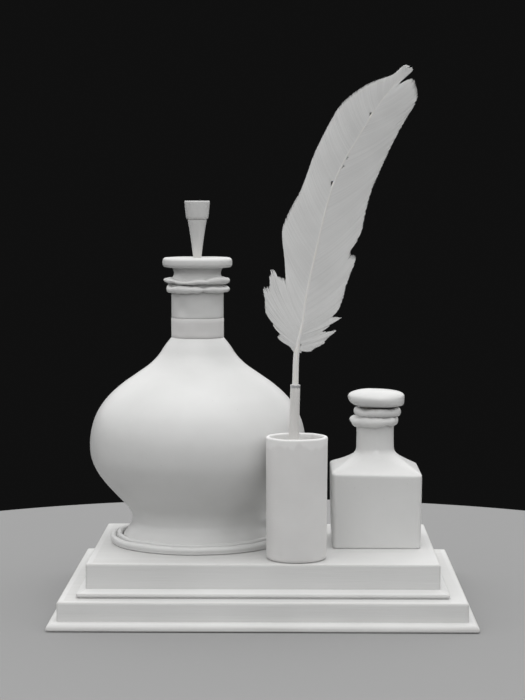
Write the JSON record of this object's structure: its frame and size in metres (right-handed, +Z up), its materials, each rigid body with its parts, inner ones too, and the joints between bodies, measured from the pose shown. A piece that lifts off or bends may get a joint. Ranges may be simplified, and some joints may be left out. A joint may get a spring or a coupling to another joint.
{
  "type": "quill pen desk set",
  "caption": "Feather dip pen upright in its pot, with a round stoppered flask and a square stoppered ink bottle, on a stepped stand.",
  "frame": {"origin": "centre of the stand's underside, on the surface it stands on", "axes": "+Z up, +X to the right along the stand's long side, +Y to the back, so the pen stands near the front edge"},
  "size_m": [0.2144, 0.1564, 0.2806],
  "materials": {
    "painted_wood": "satin white paint over a fine straight-grained hardwood, edges eased by hand",
    "felt": "pressed wool felt, matt, short fibres",
    "screw_steel": "turned steel wood screws, bright",
    "flask_glaze": "white porcelain with a soft satin glaze",
    "neck_sleeve": "unglazed bisque band left bare for grip",
    "cork": "natural agglomerated cork, matt with dark pores",
    "stopper_glaze": "white glazed porcelain",
    "bisque": "fine-turned unglazed porcelain, matt",
    "holder_wood": "pale close-grained wood, sanded",
    "grip": "bleached turned horn, dull sheen",
    "nib_steel": "stamped spring steel with a fine drawn grain",
    "collar_metal": "rolled bright ring",
    "quill": "translucent keratin, polished by handling",
    "feather": "interlocked white barbs, soft matt with a faint silk sheen"
  },
  "bodies": {
    "stand": {"stand_base_slab": "painted_wood", "stand_lower_plinth": "painted_wood", "stand_bevel_step": "painted_wood", "stand_top_block": "painted_wood", "stand_screw_1": "screw_steel", "stand_screw_2": "screw_steel", "stand_screw_3": "screw_steel", "stand_screw_4": "screw_steel", "stand_felt_pad": "felt", "flask_coaster": "flask_glaze"},
    "flask": {"flask_body": "flask_glaze", "flask_neck_sleeve": "neck_sleeve", "flask_neck_ring_lower": "flask_glaze", "flask_neck_ring_upper": "flask_glaze"},
    "flask_stopper": {"flask_stopper_cork": "cork", "flask_stopper_stem": "stopper_glaze", "flask_stopper_head": "stopper_glaze"},
    "pen_pot": {"pen_pot": "bisque", "pen_pot_insert": "holder_wood"},
    "quill_pen": {"pen_grip": "grip", "pen_collar": "collar_metal", "pen_nib_core": "nib_steel", "quill_shaft": "quill", "vane_left": "feather", "vane_right": "feather", "down_left": "feather", "down_right": "feather"},
    "nib": {"pen_nib": "nib_steel"},
    "ink_bottle": {"bottle_body": "flask_glaze", "bottle_neck_ring": "flask_glaze"},
    "ink_stopper": {"bottle_stopper_knob": "stopper_glaze", "bottle_stopper_cork": "cork"}
  },
  "joints": [
    {"name": "flask_lift", "type": "slide", "parent": "stand", "child": "flask", "axis": [0, 0, 1], "range_m": [0, 0.03]},
    {"name": "flask_stopper_lift", "type": "slide", "parent": "flask", "child": "flask_stopper", "axis": [0, 0, 1], "range_m": [0, 0.025]},
    {"name": "pot_lift", "type": "slide", "parent": "stand", "child": "pen_pot", "axis": [0, 0, 1], "range_m": [0, 0.03]},
    {"name": "quill_lift", "type": "slide", "parent": "pen_pot", "child": "quill_pen", "axis": [0.0262, 0, 0.9997], "range_m": [0, 0.06]},
    {"name": "nib_pull", "type": "slide", "parent": "quill_pen", "child": "nib", "axis": [-0.0262, 0, -0.9997], "range_m": [0, 0.0112]},
    {"name": "ink_bottle_lift", "type": "slide", "parent": "stand", "child": "ink_bottle", "axis": [0, 0, 1], "range_m": [0, 0.03]},
    {"name": "ink_stopper_lift", "type": "slide", "parent": "ink_bottle", "child": "ink_stopper", "axis": [0.0785, 0, 0.9969], "range_m": [0, 0.02]}
  ]
}
